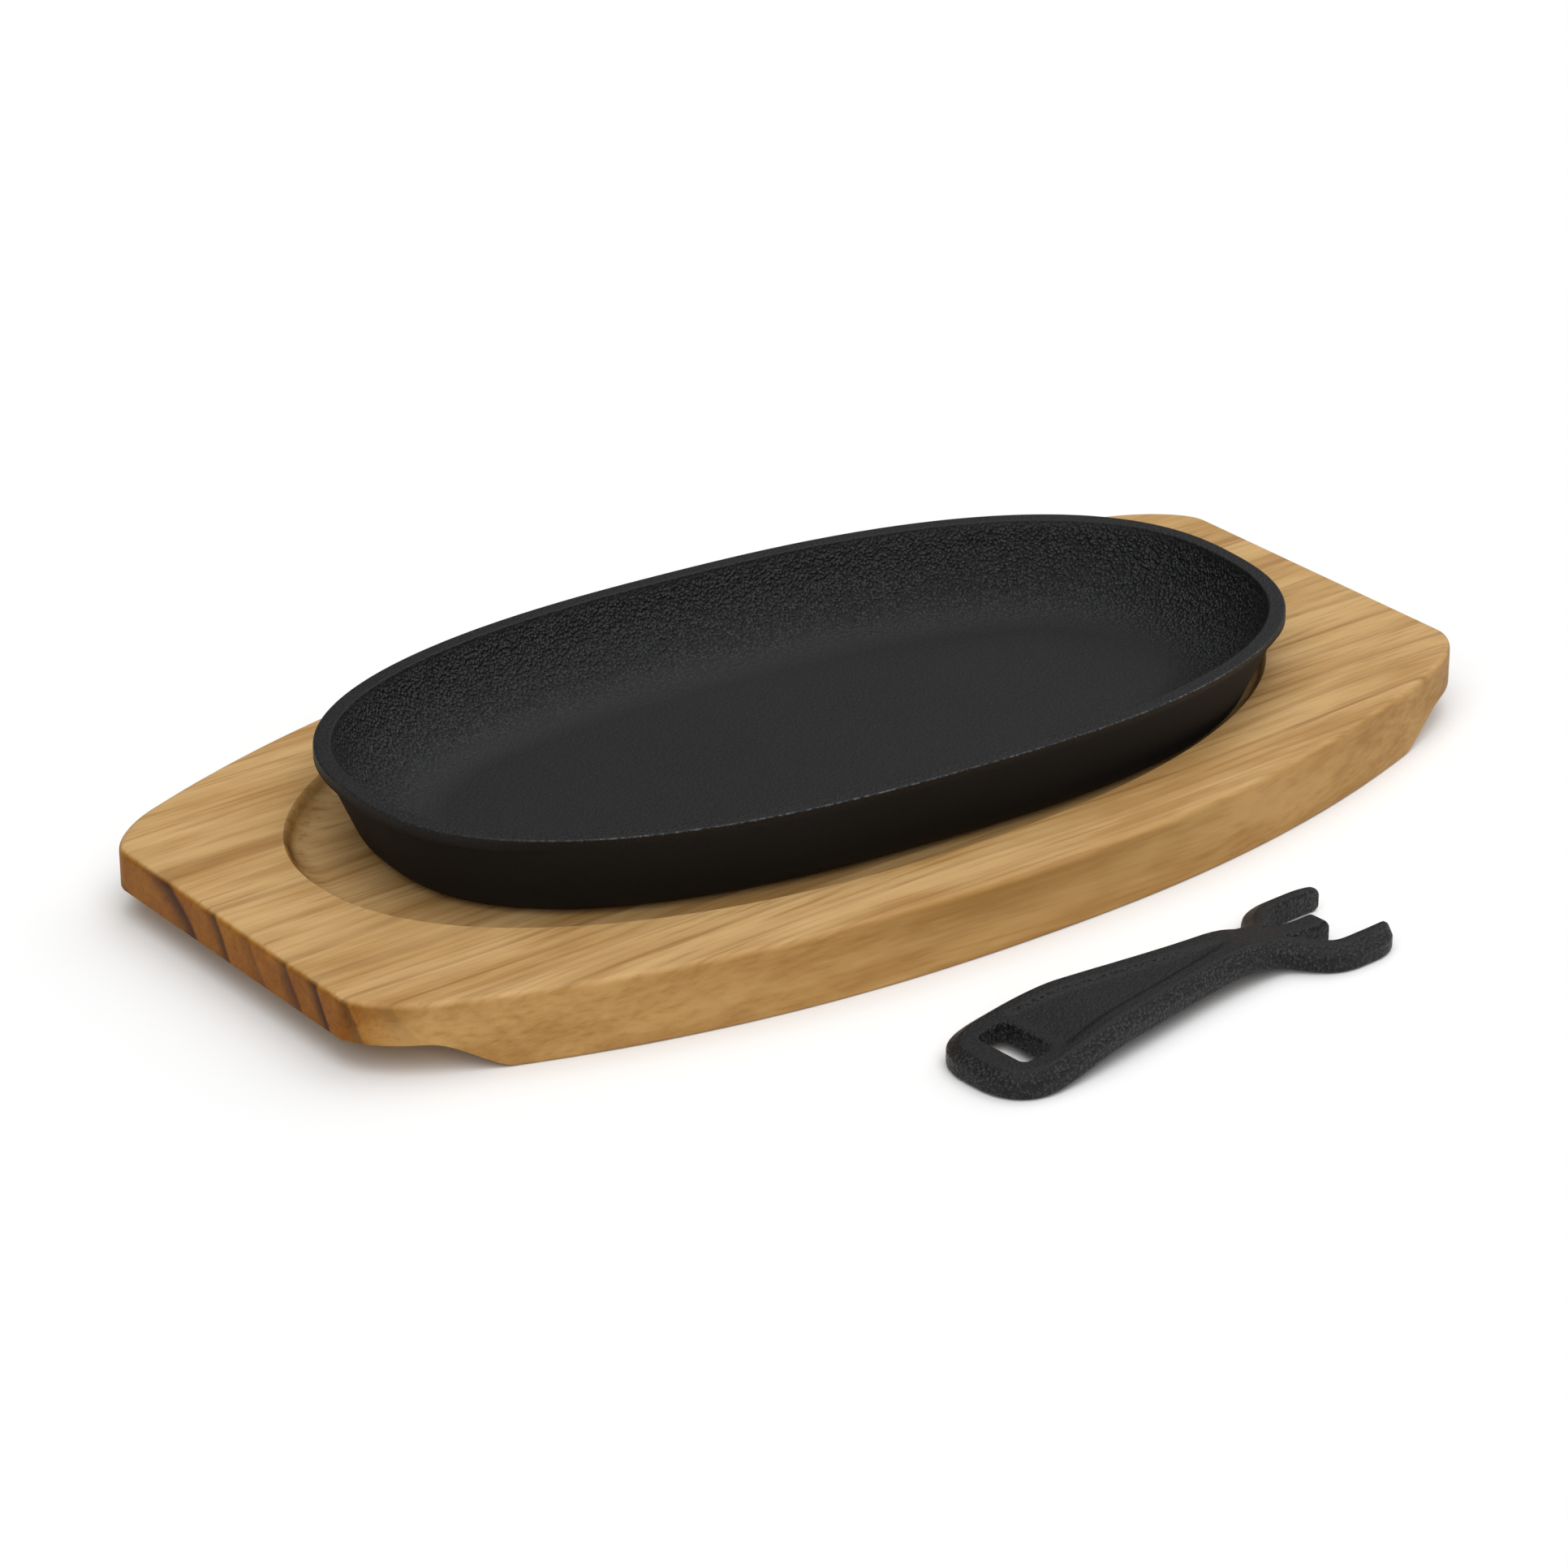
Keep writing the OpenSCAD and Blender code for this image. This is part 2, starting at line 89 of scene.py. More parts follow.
def oval_point(half_l, half_w, power, turn):
    """Point of an oval at this turn, in radians: power 2 is an ellipse, more is squarer."""
    c, s = math.cos(turn), math.sin(turn)
    return (
        half_l * math.copysign(abs(c) ** (2.0 / power), c),
        half_w * math.copysign(abs(s) ** (2.0 / power), s),
    )


def bezier(p0, p1, p2, p3, t):
    """Point of a cubic curve in the plane."""
    return tuple(
        (1 - t) ** 3 * a + 3 * (1 - t) ** 2 * t * b + 3 * (1 - t) * t * t * c + t ** 3 * d
        for a, b, c, d in zip(p0, p1, p2, p3)
    )


def heading(before, after):
    """Direction from one point of the plane to the next, one unit long."""
    return Vector((after[0] - before[0], after[1] - before[1])).normalized()


# Modelling helpers

# Two heights that differ by less than this are the same
SAME_LEVEL = 1e-5


def alone(piece=None):
    """Leaves object mode on, with nothing selected but this piece."""
    if bpy.context.object and bpy.context.object.mode != "OBJECT":
        bpy.ops.object.mode_set(mode="OBJECT")
    bpy.ops.object.select_all(action="DESELECT")
    if piece:
        piece.select_set(True)
        bpy.context.view_layer.objects.active = piece


def loft(name, loops):
    """Solid through loops of equally many points: a circle is laid on the first, then extruded."""
    alone()
    bpy.ops.mesh.primitive_circle_add(vertices=len(loops[0]), radius=1.0, fill_type="NOTHING")
    piece = bpy.context.object
    piece.name = piece.data.name = name
    for vertex, point in zip(piece.data.vertices, loops[0]):
        vertex.co = point
    bpy.ops.object.mode_set(mode="EDIT")
    bpy.ops.mesh.select_mode(type="EDGE")
    bpy.ops.mesh.select_all(action="SELECT")
    bm = bmesh.from_edit_mesh(piece.data)
    place_of = {tuple(v.co): i for i, v in enumerate(bm.verts)}
    for loop in loops[1:]:
        bpy.ops.mesh.extrude_edges_move()
        bm = bmesh.from_edit_mesh(piece.data)
        moved = {}
        for vertex in [v for v in bm.verts if v.select]:
            i = place_of[tuple(vertex.co)]
            vertex.co = loop[i]
            moved[tuple(vertex.co)] = i
        place_of = moved
        bmesh.update_edit_mesh(piece.data)
    bpy.ops.mesh.edge_face_add()
    bpy.ops.mesh.select_all(action="DESELECT")
    bpy.ops.mesh.select_non_manifold(extend=False, use_wire=False, use_boundary=True,
                                     use_multi_face=False, use_non_contiguous=False,
                                     use_verts=False)
    bpy.ops.mesh.edge_face_add()
    bpy.ops.mesh.select_all(action="SELECT")
    bpy.ops.mesh.normals_make_consistent(inside=False)
    bpy.ops.object.mode_set(mode="OBJECT")
    return piece


def bevel_level_edges(piece, height, width, segments):
    """Rounds the edges that lie level at this height."""
    alone(piece)
    bpy.ops.object.mode_set(mode="EDIT")
    bpy.ops.mesh.select_mode(type="EDGE")
    bpy.ops.mesh.select_all(action="DESELECT")
    bm = bmesh.from_edit_mesh(piece.data)
    for edge in bm.edges:
        if all(abs(v.co.z - height) < SAME_LEVEL for v in edge.verts):
            edge.select_set(True)
    bmesh.update_edit_mesh(piece.data)
    bpy.ops.mesh.bevel(offset=width, offset_type="OFFSET", segments=segments, profile=0.5,
                       affect="EDGES")
    bpy.ops.object.mode_set(mode="OBJECT")


def modify(piece, kind, **settings):
    """Adds a modifier with these settings and applies it."""
    alone(piece)
    bpy.ops.object.modifier_add(type=kind)
    modifier = piece.modifiers[-1]
    for name, value in settings.items():
        setattr(modifier, name, value)
    bpy.ops.object.modifier_apply(modifier=modifier.name)


def cut(piece, cutter):
    """Cuts the cutter's shape out of the piece and takes the cutter away."""
    modify(piece, "BOOLEAN", operation="DIFFERENCE", solver="EXACT", object=cutter)
    bpy.data.objects.remove(cutter, do_unlink=True)


def put(piece, x, y, z, turn):
    """Turns the piece about its own upright and sets it in place, then leaves that to its mesh."""
    alone(piece)
    piece.rotation_euler = (0.0, 0.0, turn)
    piece.location = (x, y, z)
    bpy.ops.object.transform_apply(location=True, rotation=True, scale=True)


def even_shading(piece, sharpest):
    """Smooth faces, sharp edges past this angle, and flat faces kept flat beside rounds."""
    alone(piece)
    bpy.ops.object.shade_smooth_by_angle(angle=sharpest)
    modify(piece, "WEIGHTED_NORMAL", keep_sharp=True, weight=80)


def paint(piece, name, values):
    """Gives each point of the piece a number, which its material reads by this name."""
    piece.data.attributes.new(name, "FLOAT", "POINT").data.foreach_set("value", values)


def hand_over(piece, node, material):
    """Gives the finished piece its material and lets it stand for its solid."""
    piece.data.materials.clear()
    piece.data.materials.append(material)
    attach(piece, "root")
    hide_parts(node)


# Material helpers. Wherever one takes a value, it takes another node's socket as well

def linear(hex_colour):
    """sRGB hex colour as linear red, green and blue."""
    parts = [int(hex_colour[i:i + 2], 16) / 255.0 for i in (0, 2, 4)]
    return tuple(c / 12.92 if c <= 0.04045 else ((c + 0.055) / 1.055) ** 2.4 for c in parts)


def add(tree, kind, settings=None, inputs=None):
    """Adds a node with its settings and its inputs."""
    node = tree.nodes.new(kind)
    for name, value in (settings or {}).items():
        setattr(node, name, value)
    for name, value in (inputs or {}).items():
        if isinstance(value, bpy.types.NodeSocket):
            tree.links.new(value, node.inputs[name])
        else:
            node.inputs[name].default_value = value
    return node


def new_material(name):
    """Empty material with its tree."""
    material = bpy.data.materials.new(name)
    material.use_nodes = True
    material.node_tree.nodes.clear()
    return material, material.node_tree


def millimetres(tree):
    """Place on the piece, in millimetres."""
    place = add(tree, "ShaderNodeTexCoord")
    return add(tree, "ShaderNodeVectorMath", {"operation": "SCALE"},
               {0: place.outputs["Object"], "Scale": 1000.0}).outputs["Vector"]


def painted(tree, name):
    """Number that was painted on the piece."""
    return add(tree, "ShaderNodeAttribute",
               {"attribute_type": "GEOMETRY", "attribute_name": name}).outputs["Fac"]


def calc(tree, operation, *values):
    """Sum, product or the like of plain values."""
    return add(tree, "ShaderNodeMath", {"operation": operation}, dict(enumerate(values))).outputs[0]


def vector_calc(tree, operation, *values, result="Vector"):
    """Sum, product or the like of vectors."""
    return add(tree, "ShaderNodeVectorMath", {"operation": operation},
               dict(enumerate(values))).outputs[result]


def along_grain(tree, at, share):
    """Coordinates that draw a pattern out along the board: 0.1 makes it ten times as long."""
    return vector_calc(tree, "MULTIPLY", at, (share, 1.0, 1.0))


def ramp(tree, value, start, end, low=0.0, high=1.0, kind="SMOOTHSTEP"):
    """Runs from low to high while the value runs from start to end."""
    return add(tree, "ShaderNodeMapRange", {"interpolation_type": kind},
               {"Value": value, "From Min": start, "From Max": end,
                "To Min": low, "To Max": high}).outputs[0]


def noise(tree, at, size, detail, roughness=0.5, result=0):
    """Noise whose blots have about this size."""
    return add(tree, "ShaderNodeTexNoise", {},
               {"Vector": at, "Scale": 1 / size, "Detail": detail,
                "Roughness": roughness}).outputs[result]


def blend(tree, share, first, second, kind="MIX"):
    """Colour this share of the way from the first to the second."""
    first, second = (c if isinstance(c, bpy.types.NodeSocket) else (*c, 1.0)
                     for c in (first, second))
    return add(tree, "ShaderNodeMix", {"data_type": "RGBA", "blend_type": kind},
               {0: share, 6: first, 7: second}).outputs[2]


def bump(tree, height, depth, strength=1.0):
    """Normal of a surface with this relief, as deep as this in metres."""
    return add(tree, "ShaderNodeBump", {},
               {"Height": height, "Strength": strength, "Distance": depth}).outputs[0]


def surface(tree, colour, roughness, specular, **others):
    """Ends the tree in one opaque surface."""
    bsdf = add(tree, "ShaderNodeBsdfPrincipled", {},
               {"Base Color": colour, "Roughness": roughness, "Specular IOR Level": specular,
                **others})
    add(tree, "ShaderNodeOutputMaterial", {}, {"Surface": bsdf.outputs[0]})


def sand_cast_iron(name, dark, light, worn_and_highlight):
    """Grey iron cast in green sand and blackened with baked oil: near black, satin, pebbled."""
    material, tree = new_material(name)
    at = millimetres(tree)
    sand, edge = painted(tree, "sand"), painted(tree, "worn_edge")

    # Moulding sand is 0.3 to 0.5 mm; its pebbles and the grit between are drawn a little
    # coarser, so that they show
    pebble_mm, grit_mm, relief_depth = 0.8, 0.5, 0.6 * MM
    pebbles = add(tree, "ShaderNodeTexVoronoi", {"feature": "SMOOTH_F1"},
                  {"Vector": at, "Scale": 1 / pebble_mm, "Smoothness": 0.3, "Randomness": 1.0})
    grit = noise(tree, at, grit_mm, 2.0, 0.6)
    relief = calc(tree, "SUBTRACT", grit, pebbles.outputs["Distance"])

    # Burnt oil lies a shade thicker in some places, and wears off the tops of the coarse grains,
    # which are painted lighter; these lighter tops also stand in as painted glints on the coarse
    # faces
    patch_mm = 30.0
    patches = noise(tree, at, patch_mm, 2.0)
    rubbed_tops_and_glints = calc(tree, "MULTIPLY", ramp(tree, relief, -0.02, 0.36), sand)
    skin = blend(tree, calc(tree, "MULTIPLY_ADD", patches, 0.12, rubbed_tops_and_glints), dark, light)

    # Edges turn lighter in short broken lengths: faint bare worn iron round the rim, with painted
    # highlights on its near side and on the handle's tips
    break_mm = 1.2
    breaks = ramp(tree, noise(tree, at, break_mm, 3.0, 0.7), 0.42, 0.66)
    colour = blend(tree, calc(tree, "MULTIPLY", breaks, edge), skin, worn_and_highlight)

    # The outside is dull, faces that are wiped with oil shine a little, and coarse grains glint
    film = ramp(tree, sand, 0.0, 0.12, 0.78, 0.56, "LINEAR")
    glint = calc(tree, "MULTIPLY_ADD", sand, -0.2, film)
    roughness = calc(tree, "MULTIPLY_ADD", patches, 0.1, glint)
    height = calc(tree, "MULTIPLY", relief, sand)
    surface(tree, colour, roughness, 0.27, Normal=bump(tree, height, relief_depth))
    return material


def oiled_wood(name, pale, honey, line, side, end, end_band):
    """Pine, sanded and oiled: its rings run right through, so that top, sides and ends agree."""
    material, tree = new_material(name)
    at = millimetres(tree)

    # The tree's middle lay below the back of the board and ran nearly along it
    trunk = add(tree, "ShaderNodeMapping", {},
                {"Vector": at, "Location": (0.0, -80.0, 42.0),
                 "Rotation": (0.0, math.radians(1.2), math.radians(-1.6))}).outputs[0]
    # Its rings waver by some millimetres over a hand's width
    waver_mm, waver_by = 38.0, 14.0
    stretched = along_grain(tree, trunk, 0.2)
    waver = noise(tree, stretched, waver_mm, 2.0, 0.45, "Color")
    grain = vector_calc(tree, "MULTIPLY_ADD", waver, (0.0, waver_by, waver_by), trunk)
    radius = vector_calc(tree, "LENGTH", along_grain(tree, grain, 0.0), result="Value")

    # Growth slowed with age: rings are about 16 mm wide at the board's back and 6 mm at its
    # front. In each, pale early wood darkens slowly to late wood, which ends sharply
    first_ring_mm = 46.7
    rings = calc(tree, "POWER", calc(tree, "DIVIDE", radius, first_ring_mm), 2.0)
    inside = calc(tree, "FRACT", rings)
    chance = add(tree, "ShaderNodeTexWhiteNoise", {"noise_dimensions": "1D"},
                 {"W": calc(tree, "FLOOR", rings)}).outputs[0]
    strength = ramp(tree, chance, 0.0, 1.0, 0.4, 1.0, "LINEAR")
    fall = ramp(tree, inside, 1.0, 0.9)
    late = calc(tree, "MULTIPLY", ramp(tree, inside, 0.42, 0.92), fall)
    ring_dark = calc(tree, "MULTIPLY", late, strength)
    # On the top only the last quarter of a ring shows clearly, as a line
    last = calc(tree, "MULTIPLY", ramp(tree, inside, 0.74, 0.93, 0.0, 0.34), fall)
    top_line = calc(tree, "MULTIPLY", last, strength)
    ring_lines = calc(tree, "MULTIPLY_ADD", ring_dark, 0.12, top_line)

    # Fibres are drawn 65 mm long and pores 10 mm long, both a little coarse, so that they show
    fibre_mm, pore_mm, streak_mm = 1.3, 0.7, 9.0
    fibres = noise(tree, along_grain(tree, grain, 0.02), fibre_mm, 4.0, 0.6)
    fine_lines = ramp(tree, fibres, 0.52, 0.72, 0.0, 0.34)
    pores = noise(tree, along_grain(tree, grain, 0.07), pore_mm, 1.0)
    pore_lines = ramp(tree, pores, 0.66, 0.76, 0.0, 0.1)
    streaks = noise(tree, stretched, streak_mm, 3.0, 0.55)
    tone = ramp(tree, calc(tree, "MULTIPLY_ADD", fibres, 0.5, streaks), 0.5, 1.0)

    # The sawn and sanded sides show the rings, fibres and pores only faintly
    normal = add(tree, "ShaderNodeNewGeometry").outputs["Normal"]
    upward = add(tree, "ShaderNodeSeparateXYZ", {}, {0: normal}).outputs[2]
    side_share = ramp(tree, upward, 0.95, 0.2)
    clearness = calc(tree, "MULTIPLY_ADD", side_share, -0.7, 1.0)
    # Cut across the fibres the wood drinks more oil: the ends are darker and redder, their rings
    # stand out, and the fibres' open tubes show as dots
    tube_mm = 1.0
    endward = vector_calc(tree, "DOT_PRODUCT", normal, (1.0, 0.0, 0.0), result="Value")
    end_share = ramp(tree, calc(tree, "ABSOLUTE", endward), 0.4, 1.0)
    tubes = ramp(tree, noise(tree, at, tube_mm, 1.0), 0.56, 0.7, 0.0, 0.3)

    colour = blend(tree, tone, pale, honey)
    for share in (fine_lines, ring_lines, pore_lines):
        colour = blend(tree, calc(tree, "MULTIPLY", share, clearness), colour, line)
    colour = blend(tree, calc(tree, "MULTIPLY", tubes, end_share), colour, line)
    colour = blend(tree, end_share, colour, blend(tree, ring_dark, end, end_band), "MULTIPLY")
    # The side tint is painted shade: faces that are not level are made darker and more saturated
    # than the top
    colour = blend(tree, side_share, colour, side, "MULTIPLY")
    roughness = ramp(tree, fibres, 0.0, 1.0, 0.5, 0.62, "LINEAR")
    surface(tree, colour, roughness, 0.15, Normal=bump(tree, fibres, 0.1 * MM, 0.3))
    return material


# Settings that a user would change

def length(name, description, default):
    """A length in metres, with its default in millimetres."""
    return bpy.props.FloatProperty(name=name, description=description, default=default / 1000.0,
                                   min=0.0, unit="LENGTH", precision=5)


def angle(name, description, default):
    """An angle in radians, with its default in degrees."""
    return bpy.props.FloatProperty(name=name, description=description,
                                   default=math.radians(default), subtype="ANGLE",
                                   unit="ROTATION")


def number(name, description, default):
    """A plain number."""
    return bpy.props.FloatProperty(name=name, description=description, default=default, min=0.0)


def tint(name, description, hex_colour):
    """A colour, with its default given as sRGB hex."""
    return bpy.props.FloatVectorProperty(name=name, description=description,
                                         default=linear(hex_colour), subtype="COLOR", size=3,
                                         min=0.0, max=1.0)


class PlatterSettings(bpy.types.PropertyGroup):
    """Sizes and colours of the iron platter."""

    length_over_rim: length("Length", "Length over the rim", 246.0)
    width_over_rim: length("Width", "Width over the rim", 131.0)
    height: length("Height", "From the base to the top of the rim", 23.5)
    oval: number("Oval", "Roundness of the oval: 2 is an ellipse", 2.45)
    rim: length("Rim", "Width of the flat ring on top of the rim", 4.1)
    lean: length("Lean", "How far the wall leans in from the rim to the base", 10.0)
    floor: length("Floor", "Thickness of the floor", 4.8)
    base_round: length("Base round", "Radius where the wall turns into the base", 8.0)
    bowl_round: length("Bowl round", "Radius where the wall runs out into the floor", 26.0)
    lip: length("Lip", "Thickness of the gripping lips at both ends", 3.4)
    lip_reach: length("Lip reach", "How far the lips stand out from the wall below", 1.8)
    edge: length("Edge", "Small round on the edges of the rim", 0.6)
    turn: angle("Turn", "How far the platter lies turned in its recess", -4.1)
    shift: length("Shift", "How far the platter lies off the middle, along the board", 0.5)
    dark: tint("Dark iron", "Iron where the burnt oil lies thick", "0b0b0c")
    # Also the colour of the coarse grain tops, which are partly painted glints
    light: tint("Light iron", "Iron where the burnt oil lies thin", "38393b")
    # Colour of the rim's light edge line: bare worn iron, and a painted highlight on the near side
    worn_and_highlight: tint("Worn edge", "Bare iron on the rubbed outer edge of the rim", "606060")


class BoardSettings(bpy.types.PropertyGroup):
    """Sizes and colours of the wooden underliner."""

    thickness: length("Thickness", "Thickness of the board", 17.5)
    half_length: length("Half length", "From the middle to an end", 159.957)
    half_width: length("Half width", "From the middle to a side", 86.31)
    draw_in: length("Draw-in", "How far each side draws in towards the ends", 34.0)
    bow: number("Bow", "How late the sides start to draw in", 2.26)
    corner_run: length("Corner run", "Length of each rounded corner along the side", 17.0)
    corner_drop: length("Corner drop", "Length of each rounded corner along the end", 16.5)
    recess_half_length: length("Recess half length", "Half length of its floor", 122.557)
    recess_half_width: length("Recess half width", "Half width of its floor", 62.21)
    recess_oval: number("Recess oval", "Roundness of the recess: 2 is an ellipse", 2.15)
    recess_back: length("Recess back", "How far it lies off the middle, towards -X", 3.4)
    recess_aside: length("Recess aside", "How far it lies off the middle, towards +Y", 2.8)
    recess_depth: length("Recess depth", "Depth of the recess", 6.0)
    recess_slope: length("Recess slope", "Width of the recess's hollow side", 8.5)
    top_round: length("Top round", "Round on the upper edge", 1.6)
    foot_round: length("Foot round", "Round on the lower edge", 0.8)
    finger_height: length("Finger gap height", "Height of the gap under each end", 7.8)
    finger_length: length("Finger gap length", "Length of the gap under each end", 33.0)
    finger_flat: length("Finger gap level part", "Level part of the gap next to the end", 13.0)
    pale: tint("Pale wood", "Early wood", "c7a36f")
    honey: tint("Honey wood", "Broad darker streaks", "aa824d")
    line: tint("Ring line", "Late wood lines", "7c5226")
    # Tint of the sides: painted shade, darker and more saturated than the top
    side: tint("Sides", "Tint of the edges, which took more oil", "f2e9d2")
    end: tint("End grain", "Tint of the wood cut across its fibres", "cfa73c")
    end_band: tint("End grain bands", "Tint of the late wood cut across its fibres", "5e3f15")


class HandleSettings(bpy.types.PropertyGroup):
    """Sizes and colours of the loose gripper handle."""

    length_over_prongs: length("Length", "Length over the prongs", 116.0)
    thickness: length("Thickness", "Thickness of the handle", 6.0)
    palm: length("Palm", "Width of the palm end", 30.0)
    neck_at: length("Neck at", "From the palm end to the narrowest place", 85.0)
    neck: length("Neck", "Width at the narrowest place", 14.8)
    fork: length("Fork", "Width over the two prongs", 32.0)
    prong: length("Prong", "Width of each prong", 5.8)
    splay_at: length("Splay at", "From the palm end to the middle of the prongs' bend", 93.5)
    prong_run: length("Prong run", "Straight run of the prongs up to their tips", 12.5)
    tip_length: length("Tip length", "Length over which the prongs' tips round off", 8.0)
    tip_round: length("Tip round", "Round on the upper edge of the tips", 2.0)
    gap_at: length("Gap at", "From the palm end to the bottom of the fork's gaps", 96.5)
    tongue: length("Tongue", "Width of the tongue between the prongs", 5.6)
    tongue_back: length("Tongue back", "How far the tongue stops short of the prongs", 9.8)
    arch: length("Arch", "Rise of the arched neck", 3.9)
    bevel: length("Bevel", "Width of the bevel around the top", 2.6)
    bevel_height: length("Bevel height", "Height of the bevel around the top", 2.0)
    under_edge: length("Under edge", "Small round on the lower edge", 0.7)
    palm_round: length("Palm round", "Length of the rounded palm end", 15.5)
    hole_length: length("Hole length", "Length of the hanging hole, across the handle", 15.6)
    hole_width: length("Hole width", "Width of the hanging hole, along the handle", 8.2)
    hole_margin: length("Hole margin", "Iron left between the palm end and the hole", 8.4)
    hole_flare: length("Hole flare", "How far the hole opens out at the underside", 3.2)
    dish: length("Dish", "Depth of the dish in the top of the palm", 1.0)
    dish_border: length("Dish border", "Width of the raised border beside the dish", 3.0)
    web_drop: length("Web drop", "How far the web lies below the prongs' tops", 1.2)
    x: length("Place along", "From the middle to the palm end, towards -X", 57.7)
    y: length("Place aside", "From the middle to the handle, towards -Y", 131.11)
    turn: angle("Turn", "How far the handle is turned out of line", 3.5)
    dark: tint("Dark iron", "Iron where the burnt oil lies thick", "0b0b0c")
    # Also the colour of the coarse grain tops, which are partly painted glints
    light: tint("Light iron", "Iron where the burnt oil lies thin", "38393b")
    # Colour of the tips' light specks, which are painted glints
    worn_and_highlight: tint("Worn edge", "Bare iron on the rubbed tips", "5a5b5d")


class StageSettings(bpy.types.PropertyGroup):
    """Camera, lights and floor."""

    distance: length("Distance", "Camera to the point that it looks at", 1298.405)
    azimuth: angle("Azimuth", "Way round the object: 0 looks along +Y", -37.116)
    elevation: angle("Elevation", "Above the horizon", 25.461)
    aim: bpy.props.FloatVectorProperty(name="Aim", description="Point that the camera looks at",
                                       default=(0.001303, 0.011968, 0.0), unit="LENGTH")
    sky: number("Sky", "Light from all round", 0.12)
    over: number("Overhead", "Large soft light straight above, W/m2", 0.78)
    key: number("Key", "Large soft light behind the camera, W/m2", 1.92)
    fill: number("Fill", "Large soft light from behind at the right, W/m2", 1.17)
    floor: tint("Floor", "Paper that everything stands on", "f4f4f4")


# One operator for each piece

OVAL_POINTS = 240
# Between these shares of the half length the plain wall turns into a gripping lip
LIP_FADE_FROM, LIP_FADE_TO = 0.78, 0.92
# Wall left below the lip's underside, to keep the corner there sharp
LIP_ROOT = 0.3 * MM
# How coarse the sand's print is, against that on the bowl's wall
SAND_OUTSIDE, SAND_RIM, SAND_RIM_INSIDE, SAND_FLOOR = 0.02, 0.2, 0.25, 0.12


class SIZZLE_OT_platter(bpy.types.Operator):
    """Models the oval iron platter in one run of loops, from its base over the rim to its floor"""

    bl_idname = "sizzle.platter"
    bl_label = "Iron platter"

    def execute(self, context):
        s = context.scene.sizzle_platter
        half_l, half_w = s.length_over_rim / 2, s.width_over_rim / 2
        slope = s.lean / s.height
        upright = math.pi / 2 - math.atan(slope)
        base_inset = s.lean + s.base_round * math.tan(upright / 2)
        bowl_inset = s.rim + (s.height - s.floor) * slope + s.bowl_round * math.tan(upright / 2)
        setback = s.lip_reach - s.lip * slope
        lip_z = s.height - s.lip
        # Each entry is a loop, how coarse the sand lies on it, and how worn it is
        runs = []

        def run(side_inset, lip_inset, z, sand, wear_and_highlight=0.0):
            points = []
            for i in range(OVAL_POINTS):
                a = math.tau * i / OVAL_POINTS
                x, y = oval_point(half_l, half_w, s.oval, a)
                d = between(side_inset, lip_inset,
                            fade(abs(x) / half_l, LIP_FADE_FROM, LIP_FADE_TO))
                x, y = oval_point(half_l - d, half_w - d, s.oval, a)
                points.append((x, y, z))
            runs.append((points, sand, wear_and_highlight))

        # Base and wall
        for k in range(11):
            a = upright * k / 10
            z = s.base_round * (1 - math.cos(a))
            inset = base_inset - s.base_round * math.sin(a)
            run(inset, inset + setback, z, SAND_OUTSIDE)
        for share in (0.4, 0.75):
            z = between(z, lip_z, share)
            inset = (s.height - z) * slope
            run(inset, inset + setback, z, SAND_OUTSIDE)
        # Underside of the lip and its lower edge
        run((s.lip + LIP_ROOT) * slope, s.lip_reach + LIP_ROOT * slope, lip_z - LIP_ROOT,
            SAND_OUTSIDE)
        run(s.lip * slope, s.edge, lip_z, SAND_OUTSIDE)
        run((s.lip - s.edge) * slope, 0.0, lip_z + s.edge, SAND_OUTSIDE)
        # Outer and inner round of the rim's flat ring
        for k in range(6):
            a = math.pi / 2 * k / 5
            drop, inset = s.edge * (1 - math.sin(a)), s.edge * (1 - math.cos(a))
            # The middle of the outer round carries the light edge line: worn iron, and a painted
            # highlight on the near side
            wear_and_highlight = 1.0 if 2 <= k <= 3 else 0.0
            run(inset + drop * slope, inset, s.height - drop, SAND_RIM, wear_and_highlight)
        for k in range(6):
            a = math.pi / 2 * k / 5
            inset = s.rim - s.edge * (1 - math.sin(a))
            run(inset, inset, s.height - s.edge * (1 - math.cos(a)), SAND_RIM_INSIDE)
        # Bowl: coarse on its wall, finer where it runs out into the floor. The coarse wall also
        # gets the painted glints of the lighter grain tops
        for k in range(17):
            share = k / 16
            a = upright * (1 - share)
            inset = bowl_inset - s.bowl_round * math.sin(a)
            run(inset, inset, s.floor + s.bowl_round * (1 - math.cos(a)),
                between(1.0, SAND_FLOOR, fade(share, 0.4, 0.9)))

        piece = loft("iron_platter", [points for points, _, _ in runs])
        paint(piece, "sand", [sand for _, sand, _ in runs for _ in range(OVAL_POINTS)])
        # A light line runs round the rim's outer edge: faint wear all round, and a painted
        # highlight that is strongest on the near long side
        paint(piece, "worn_edge", [wear_and_highlight * between(0.12, 1.0, fade(-y / half_w, 0.55, 0.9))
                                   for points, _, wear_and_highlight in runs for _, y, _ in points])
        even_shading(piece, math.radians(50))
        put(piece, s.shift, 0.0, SEAT_Z, s.turn)
        hand_over(piece, "platter",
                  sand_cast_iron("cast_iron_platter", s.dark, s.light, s.worn_and_highlight))
        return {"FINISHED"}


# How far a cutter reaches past what it cuts
OVERCUT = 5 * MM
# Share of the way to the sides' crossing that each corner's curve is pulled
CORNER_PULL = 0.56
# Small bevel at the recess's edge, and the part of a quarter circle that its side takes up
RECESS_BEVEL, RECESS_ARC = 0.8 * MM, 0.97


